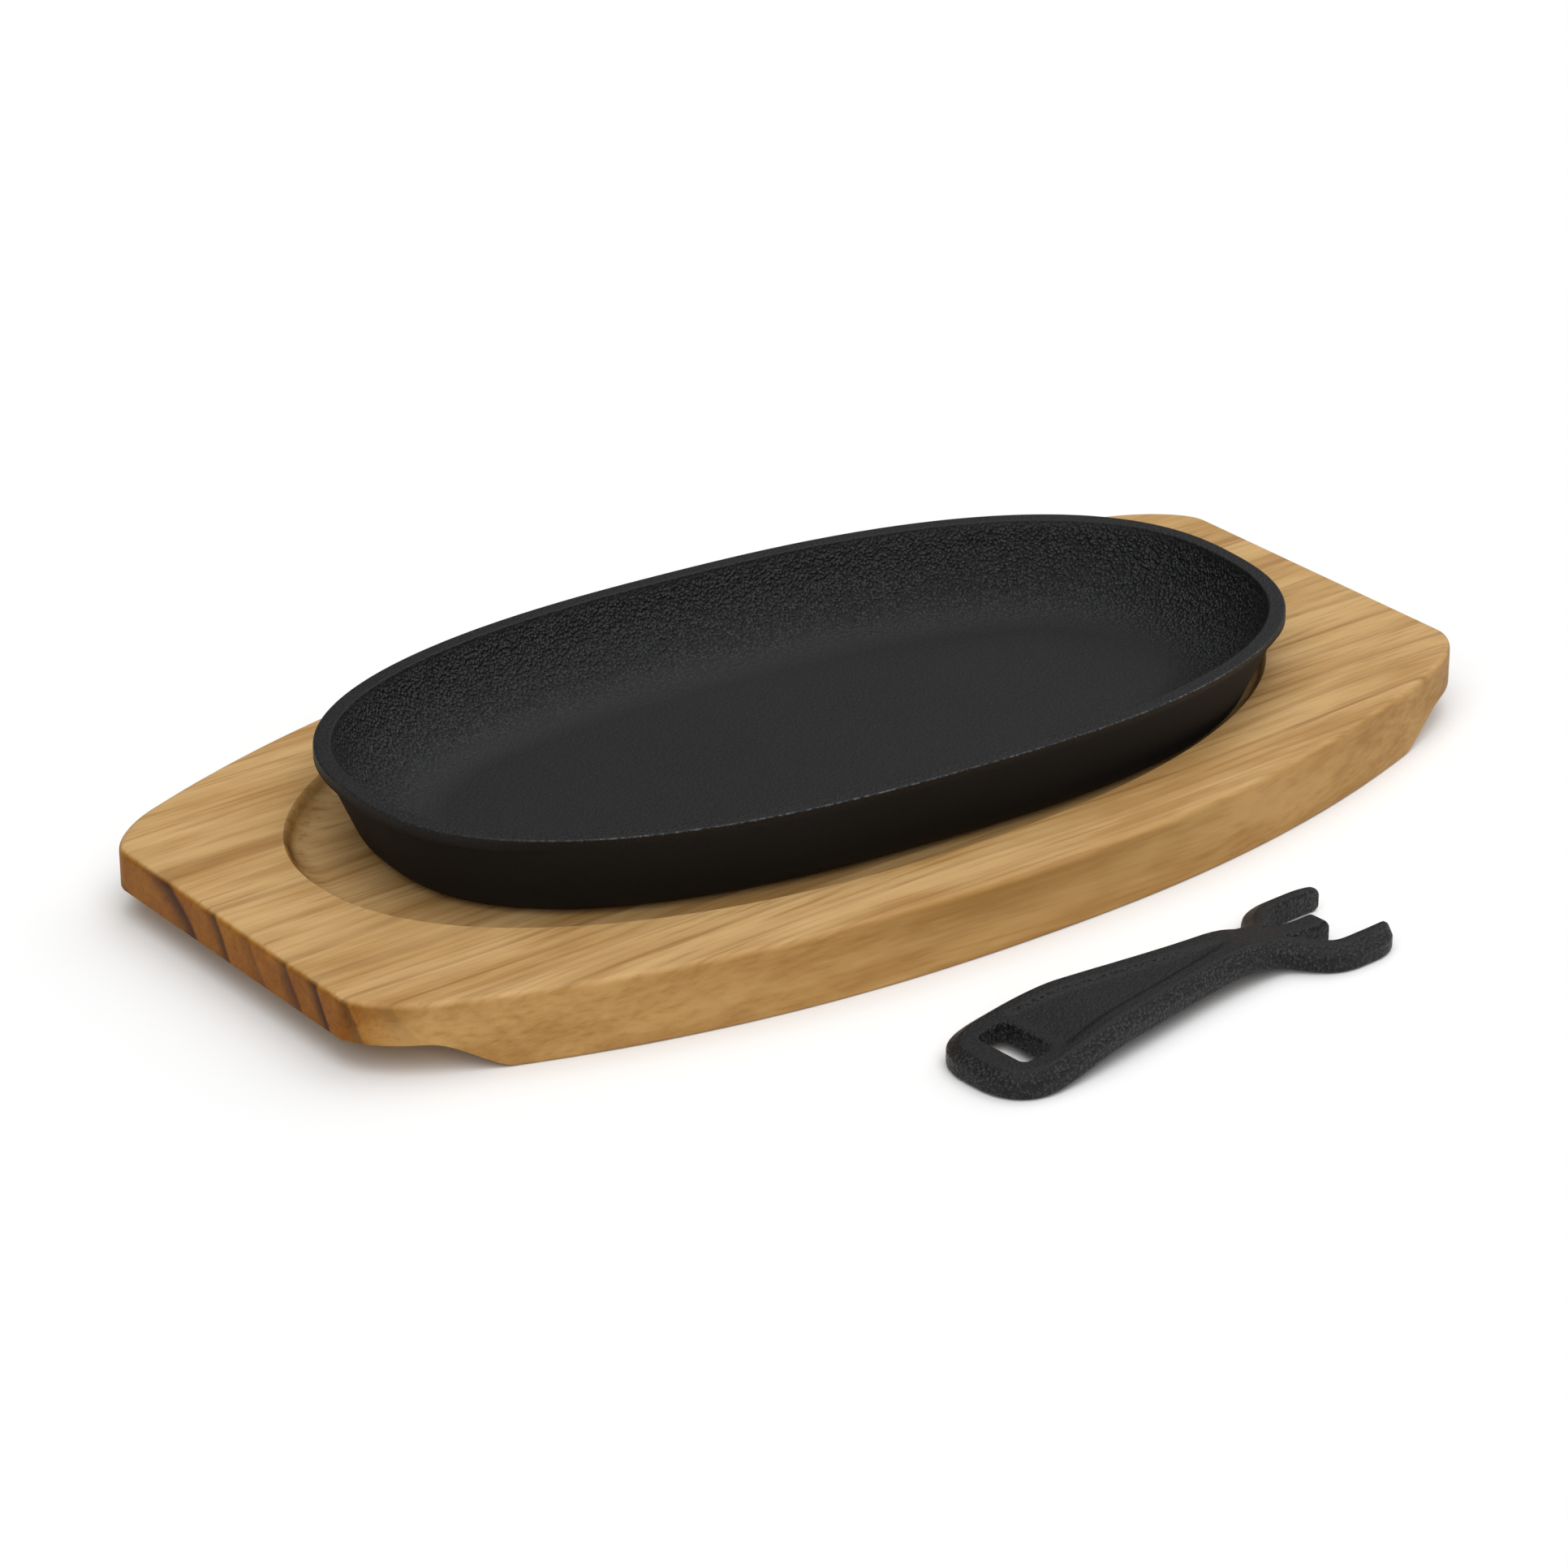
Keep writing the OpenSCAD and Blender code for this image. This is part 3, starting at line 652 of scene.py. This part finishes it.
class SIZZLE_OT_board(bpy.types.Operator):
    """Models the wooden underliner: bowed blank, rounded edges, oval recess, two finger gaps"""

    bl_idname = "sizzle.board"
    bl_label = "Wooden underliner"

    def execute(self, context):
        s = context.scene.sizzle_board
        board = self.blank(s)
        bevel_level_edges(board, s.thickness, s.top_round, 6)
        bevel_level_edges(board, 0.0, s.foot_round, 4)
        cut(board, self.recess_cutter(s))
        for side in (1, -1):
            cut(board, self.finger_cutter(s, side))
        even_shading(board, math.radians(35))
        hand_over(board, "underliner_board",
                  oiled_wood("oiled_wood", s.pale, s.honey, s.line, s.side, s.end, s.end_band))
        return {"FINISHED"}

    def blank(self, s):
        """Board with bowed sides and rounded corners."""
        def bow(x):
            return s.half_width - s.draw_in * (x / s.half_length) ** s.bow

        corner_x = s.half_length - s.corner_run
        start = (corner_x, bow(corner_x))
        steep = -s.draw_in * s.bow * (corner_x / s.half_length) ** (s.bow - 1) / s.half_length
        peak = (s.half_length, start[1] + steep * s.corner_run)
        stop = (s.half_length, start[1] - s.corner_drop)
        pull_from = tuple(between(a, b, CORNER_PULL) for a, b in zip(start, peak))
        pull_to = tuple(between(a, b, CORNER_PULL) for a, b in zip(stop, peak))
        quarter = [(s.half_length, stop[1] * k / 4) for k in range(4)]
        quarter += [bezier(stop, pull_to, pull_from, start, k / 20) for k in range(21)]
        quarter += [(corner_x * (1 - k / 40), bow(corner_x * (1 - k / 40)))
                    for k in range(1, 41)]
        outline = quarter + [(-x, y) for x, y in quarter[-2::-1]]
        outline += [(-x, -y) for x, y in quarter[1:]] + [(x, -y) for x, y in quarter[-2:0:-1]]
        return loft("wooden_underliner",
                    [[(x, y, z) for x, y in outline] for z in (0.0, s.thickness)])

    def recess_cutter(self, s):
        """Oval whose side is an arc that runs out flat into the floor, with a small bevel above."""
        steps = 14
        full = 1 - math.sqrt(1 - RECESS_ARC * RECESS_ARC)
        levels = []
        for k in range(steps + 1):
            t = k / steps
            rise = (1 - math.sqrt(1 - (RECESS_ARC * t) ** 2)) / full
            levels.append(((s.recess_slope - RECESS_BEVEL) * t,
                           SEAT_Z + (s.recess_depth - RECESS_BEVEL) * rise))
        levels += [(s.recess_slope, s.thickness),
                   (s.recess_slope + RECESS_BEVEL, s.thickness + RECESS_BEVEL)]
        loops = []
        for grow, z in levels:
            ring = [oval_point(s.recess_half_length + grow, s.recess_half_width + grow,
                               s.recess_oval, math.tau * i / OVAL_POINTS)
                    for i in range(OVAL_POINTS)]
            loops.append([(x - s.recess_back, y + s.recess_aside, z) for x, y in ring])
        return loft("recess_cutter", loops)

    def finger_cutter(self, s, side):
        """Gap that is level next to the end and sweeps down to nothing at its inner end."""
        profile = [(s.half_length + OVERCUT, -OVERCUT), (s.half_length + OVERCUT, s.finger_height)]
        for k in range(25):
            inward = between(s.finger_flat, s.finger_length, k / 24)
            left = 1 - fade(inward, s.finger_flat, s.finger_length)
            profile.append((s.half_length - inward, s.finger_height * left))
        profile.append((s.half_length - s.finger_length - OVERCUT, -OVERCUT))
        reach = s.half_width + OVERCUT
        return loft("finger_gap_cutter",
                    [[(side * x, y, z) for x, z in profile] for y in (-reach, reach)])


class HandleForm:
    """Curves that the handle's parts share: u runs from the palm end to the tips, y across."""

    # Squareness of the palm end's oval
    power = 2.6
    # How far the prongs and the tongue reach back into the body, and how deep they sink there
    root, root_sink = 12 * MM, 0.5 * MM
    # Small bevel on the edges of the prongs and the tongue
    edge = 0.6 * MM
    # Share of the prongs' bend at which the web ends at their inner sides
    web_share = 0.85

    def __init__(self, s):
        self.s = s
        self.straight_at = s.length_over_prongs - s.prong_run
        self.root_y, self.end_y = (s.neck - s.prong) / 2, (s.fork - s.prong) / 2
        self.dish_from = s.hole_margin + s.hole_width + 1.5 * MM
        self.dish_to = s.neck_at - 4 * MM
        bend = self.prong_mid(self.web_share)
        along = heading(self.prong_mid(self.web_share - 0.02),
                        self.prong_mid(self.web_share + 0.02))
        self.web_end = bend[0] + s.prong / 2 * along.y
        self.web_y = bend[1] - s.prong / 2 * along.x

    def arch(self, u):
        """Height of the underside over the table."""
        s = self.s
        up = fade(u, 5 * MM, 0.42 * s.neck_at)
        down = fade(u, s.neck_at - self.root, self.straight_at - 3 * MM)
        return s.arch * up * (1 - down)

    def prong_mid(self, t):
        """Point of a prong's middle line, from the neck to its straight run."""
        s = self.s
        return bezier((s.neck_at, self.root_y), (s.splay_at, self.root_y),
                      (s.splay_at, self.end_y), (self.straight_at, self.end_y), t)

    def half_width(self, u):
        """Half the width of palm, neck and web, without the palm end's rounding."""
        s = self.s
        taper = fade(u, 11 * MM, s.neck_at)
        splay = fade(u, s.neck_at, self.straight_at)
        tuck = smooth((u - s.neck_at) / (5 * MM))
        return (s.palm / 2 - (s.palm - s.neck) / 2 * taper + (self.end_y - self.root_y) * splay
                - s.prong / 2 * tuck)

    def end_share(self, u):
        """1 at the very end of the palm, 0 from where its rounding stops."""
        return max(0.0, (self.s.palm_round - u) / self.s.palm_round)

    def inward(self, u, y):
        """Distance in from the outline."""
        w = self.half_width(u)
        side, end = (abs(y) / w) ** self.power, self.end_share(u) ** self.power
        reach = (side + end) ** (1 / self.power)
        if reach < 0.001:
            return w
        return (1 - reach) * (w * side + self.s.palm_round * end) / (side + end)

    def top(self, u, y):
        """Height of the top over the underside, with its bevel, its dish and the sunk web."""
        s = self.s
        reach = ((s.palm / 2 - s.bevel - s.dish_border) * (self.dish_to - u)
                 / (self.dish_to - self.dish_from))
        dish = (s.dish * smooth((reach - abs(y)) / (1.8 * MM) + 0.5)
                * smooth((u - self.dish_from) / (2.4 * MM)))
        dish *= smooth((self.dish_to - u) / (20 * MM))
        web = s.web_drop * smooth((u - s.neck_at + 7 * MM) / (14 * MM))
        bevel = s.bevel_height * (1 - min(max(self.inward(u, y) / s.bevel, 0.0), 1.0))
        return s.thickness - bevel - dish - web

    def tip_fall(self, u, tip):
        """How far the top of a prong or the tongue has rounded down near its tip."""
        past = 0.99 * min(max((u - tip + self.s.tip_round) / self.s.tip_round, 0.0), 1.0)
        return self.s.tip_round * (1 - math.sqrt(1 - past * past))

    def root_fall(self, u):
        """How far the top of a prong or the tongue has sunk into the body."""
        return self.root_sink * smooth((self.s.neck_at - u) / self.root)

    def tip_share(self, u):
        """Share of its width that a prong still has near its tip."""
        s = self.s
        past = min(max((u - s.length_over_prongs + s.tip_length) / s.tip_length, 0.0), 1.0)
        return math.sqrt(1 - 0.88 * past * past)


# Size of the cells that the handle's parts grow together in
GROWN_CELL = 0.00032


class SIZZLE_OT_handle(bpy.types.Operator):
    """Models the loose gripper handle: palm and neck, two prongs, tongue, grown into one casting"""

    bl_idname = "sizzle.handle"
    bl_label = "Gripper handle"

    def execute(self, context):
        s = context.scene.sizzle_handle
        form = HandleForm(s)
        body = self.body(form)
        cut(body, self.hole_cutter(s))
        for side in (1, -1):
            cut(body, self.gap_cutter(form, side))
        parts = [body, self.prong(form, 1), self.prong(form, -1), self.tongue(form)]

        # The four shapes grow together into one casting with soft inner corners
        alone(body)
        for part in parts:
            part.select_set(True)
        bpy.ops.object.join()
        modify(body, "REMESH", mode="VOXEL", voxel_size=GROWN_CELL)
        modify(body, "SMOOTH", factor=0.5, iterations=4)
        bpy.ops.object.shade_smooth()

        # Sloping faces kept the coarse sand, level ones were pressed finer. The coarse sand also
        # carries the painted glints of the lighter grain tops
        points = body.data.vertices
        paint(body, "sand", [between(0.9, 0.2, smooth((abs(v.normal.z) - 0.78) / 0.06))
                             for v in points])
        # The prongs' tips get light broken specks: painted glints
        tip_from = s.length_over_prongs - 3 * MM
        paint(body, "worn_edge", [0.5 * smooth((v.co.x - tip_from) / (2 * MM)) for v in points])
        put(body, -s.x, -s.y, 0.0, s.turn)
        hand_over(body, "gripper_handle",
                  sand_cast_iron("cast_iron_handle", s.dark, s.light, s.worn_and_highlight))
        return {"FINISHED"}

    def body(self, form):
        """Palm, neck and web, as cross-sections from the palm end on."""
        s = form.s
        stations = [s.palm_round * (1 - math.cos(math.pi / 2 * max(k, 0.2) / 16))
                    for k in range(17)]
        stations += [between(s.palm_round, form.web_end, k / 110) for k in range(1, 111)]
        loops = []
        for u in stations:
            w = form.half_width(u) * (1 - form.end_share(u) ** form.power) ** (1 / form.power)
            z, inner = form.arch(u), max(w / 2, w - s.under_edge)
            under = s.under_edge * (1 - min(form.inward(u, inner) / s.under_edge, 1.0))
            half = [(w * (1 - k / 36), z + form.top(u, w * (1 - k / 36))) for k in range(36)]
            loops.append([(u, inner, z + under), (u, w, z + s.under_edge)]
                         + [(u, y, h) for y, h in half] + [(u, 0.0, z + form.top(u, 0.0))]
                         + [(u, -y, h) for y, h in half[::-1]]
                         + [(u, -w, z + s.under_edge), (u, -inner, z + under)])
        return loft("gripper_handle_cast", loops)

    def hole_cutter(self, s):
        """Hanging hole, straight from the top and opened out at the underside by the sand core."""
        squareness, count = 7.0, 96
        loops = []
        for z, grow in ((-1 * MM, s.hole_flare), (0.0, s.hole_flare),
                        (0.9 * MM, 0.5 * s.hole_flare), (2.4 * MM, 0.0),
                        (4 * s.thickness, 0.0)):
            ring = [oval_point(s.hole_width / 2 + grow, s.hole_length / 2 + grow, squareness,
                               math.tau * (k + 0.5) / count) for k in range(count)]
            loops.append([(s.hole_margin + s.hole_width / 2 + x, y, z) for x, y in ring])
        return loft("hole_cutter", loops)

    def gap_cutter(self, form, side):
        """Rounded bottom of the gap between a prong and the tongue."""
        s = form.s
        middle = (form.web_y + s.tongue / 2) / 2
        radius = (form.web_y - s.tongue / 2) / 2 + 0.6 * MM
        turns = [math.pi * (0.5 + k / 32) for k in range(33)]
        rim = [((form.web_end - s.gap_at) * math.cos(a), radius * math.sin(a)) for a in turns]
        rim += [(OVERCUT, -radius), (OVERCUT, radius)]
        return loft("gap_cutter", [[(form.web_end + x, side * middle + y, z) for x, y in rim]
                                   for z in (-s.thickness, 3 * s.thickness)])

    def prong(self, form, side):
        """Prong, as cross-sections square to its middle line."""
        s, edge = form.s, form.edge
        path = [(s.neck_at - form.root, form.root_y - form.root_sink),
                (s.neck_at - form.root / 2, form.root_y - form.root_sink / 2)]
        path += [form.prong_mid(k / 40) for k in range(41)]
        for k in range(17):
            u = s.length_over_prongs - s.tip_length * (1 - math.sin(math.pi / 2 * k / 16))
            path.append((u, form.end_y - s.prong / 2 * (1 - form.tip_share(u))))
        # The bevel is a little larger than the body's, as the web hides its start
        bevel_h, bevel_w = s.bevel_height + 0.3 * MM, s.bevel + 0.6 * MM
        loops = []
        for i, (u, y) in enumerate(path):
            along = heading(path[max(i - 1, 0)], path[min(i + 1, len(path) - 1)])
            if u > form.straight_at:
                along = Vector((1.0, 0.0))
            share, z = form.tip_share(u), form.arch(u)
            fall = form.tip_fall(u, s.length_over_prongs)
            w, low, top = s.prong / 2 * share, fall / 2, s.thickness - fall - form.root_fall(u)
            section = [(-w + edge * share, low), (w - s.under_edge * share, low),
                       (w, low + s.under_edge), (w, top - bevel_h), (w - bevel_w * share, top),
                       (-w + edge * share, top), (-w, top - edge), (-w, low + edge)]
            loops.append([(u - along.y * a, side * (y + along.x * a), z + b)
                          for a, b in section])
        return loft("prong", loops)

    def tongue(self, form):
        """Tongue between the prongs, with all its long edges bevelled."""
        s, edge = form.s, form.edge
        tip = s.length_over_prongs - s.tongue_back
        stations = [between(s.neck_at - form.root, tip - s.tip_round, k / 24) for k in range(25)]
        stations += [tip - s.tip_round * (1 - math.sin(math.pi / 2 * k / 10))
                     for k in range(1, 11)]
        loops = []
        for u in stations:
            fall, z = form.tip_fall(u, tip), form.arch(u)
            w, top = s.tongue / 2 - fall / 6, z + s.thickness - fall - form.root_fall(u)
            loops.append([(u, w - edge, z), (u, w, z + edge), (u, w, top - edge),
                          (u, w - edge, top), (u, -w + edge, top), (u, -w, top - edge),
                          (u, -w, z + edge), (u, -w + edge, z)])
        return loft("tongue", loops)


# Side of the floor in metres, and how wide each soft light looks from it
FLOOR_SIZE = 12.0
LIGHT_WIDTH = math.radians(70.0)
# Each light's name, its setting, and the direction that it shines from
LIGHTS = (
    ("overhead_light", "over", (0.0, 0.0, 1.0)),
    ("key_light", "key", (-0.388, -0.512, 0.766)),
    ("fill_light", "fill", (0.636, 0.088, 0.766)),
)
# The room is darker at the horizon than under its ceiling
SKY_LOW, SKY_HIGH = 0.45, 1.35


class SIZZLE_OT_stage(bpy.types.Operator):
    """Lays the pale floor, hangs the soft lights and sets the camera as in the photograph"""

    bl_idname = "sizzle.stage"
    bl_label = "Studio"

    def execute(self, context):
        s = context.scene.sizzle_stage
        scene = context.scene
        scene.view_settings.view_transform = "Standard"
        alone()
        bpy.ops.mesh.primitive_plane_add(size=FLOOR_SIZE, location=(0.0, 0.0, 0.0))
        floor = context.object
        floor.name = "studio_floor"
        material, tree = new_material("studio_paper")
        surface(tree, (*s.floor, 1.0), 0.9, 0.1)
        floor.data.materials.append(material)

        world = bpy.data.worlds.new("studio_air")
        world.use_nodes = True
        tree = world.node_tree
        tree.nodes.clear()
        around = add(tree, "ShaderNodeTexCoord")
        upward = add(tree, "ShaderNodeSeparateXYZ", {}, {0: around.outputs["Generated"]})
        level = ramp(tree, upward.outputs[2], 0.0, 1.0, SKY_LOW * s.sky, SKY_HIGH * s.sky, "LINEAR")
        air = add(tree, "ShaderNodeBackground", {},
                  {"Color": (1.0, 1.0, 1.0, 1.0), "Strength": level})
        add(tree, "ShaderNodeOutputWorld", {}, {"Surface": air.outputs[0]})
        scene.world = world

        for name, setting, place in LIGHTS:
            light = bpy.data.lights.new(name, "SUN")
            light.angle, light.energy = LIGHT_WIDTH, getattr(s, setting)
            lamp = bpy.data.objects.new(name, light)
            scene.collection.objects.link(lamp)
            lamp.location = place
            lamp.rotation_euler = (-Vector(place)).to_track_quat("-Z", "Y").to_euler()

        back = Vector((math.sin(s.azimuth) * math.cos(s.elevation),
                       -math.cos(s.azimuth) * math.cos(s.elevation), math.sin(s.elevation)))
        lens = bpy.data.cameras.new("photo_camera")
        lens.sensor_fit, lens.sensor_width = "HORIZONTAL", SENSOR_MM
        lens.lens = FOCAL_PX * SENSOR_MM / PHOTO_PX
        lens.clip_start, lens.clip_end = 0.05, 50.0
        camera = bpy.data.objects.new("photo_camera", lens)
        scene.collection.objects.link(camera)
        camera.location = Vector(s.aim) + back * s.distance
        camera.rotation_mode = "QUATERNION"
        camera.rotation_quaternion = (-back).to_track_quat("-Z", "Y")
        scene.camera = camera
        return {"FINISHED"}


class SIZZLE_PT_panel(bpy.types.Panel):
    """Lists the pieces, their settings and the studio"""

    bl_label = "Sizzle Platter"
    bl_space_type = "VIEW_3D"
    bl_region_type = "UI"
    bl_category = "Sizzle Platter"

    def draw(self, context):
        for operator, group in STEPS:
            box = self.layout.box()
            box.operator(operator.bl_idname)
            settings = getattr(context.scene, group)
            for name in settings.__annotations__:
                box.prop(settings, name)


STEPS = (
    (SIZZLE_OT_stage, "sizzle_stage"),
    (SIZZLE_OT_platter, "sizzle_platter"),
    (SIZZLE_OT_board, "sizzle_board"),
    (SIZZLE_OT_handle, "sizzle_handle"),
)
GROUPS = {
    "sizzle_stage": StageSettings,
    "sizzle_platter": PlatterSettings,
    "sizzle_board": BoardSettings,
    "sizzle_handle": HandleSettings,
}
CLASSES = (*GROUPS.values(), *(operator for operator, _ in STEPS), SIZZLE_PT_panel)


def register():
    """Registers the classes and hangs each group of settings on the scene."""
    for cls in CLASSES:
        bpy.utils.register_class(cls)
    for name, group in GROUPS.items():
        setattr(bpy.types.Scene, name, bpy.props.PointerProperty(type=group))


def unregister():
    """Takes the settings and the classes away again."""
    for name in GROUPS:
        delattr(bpy.types.Scene, name)
    for cls in reversed(CLASSES):
        bpy.utils.unregister_class(cls)


def main():
    """Builds the studio and the pieces in order."""
    register()
    bpy.ops.sizzle.stage()
    bpy.ops.sizzle.platter()
    bpy.ops.sizzle.board()
    bpy.ops.sizzle.handle()
    alone()


if __name__ == "__main__":
    main()
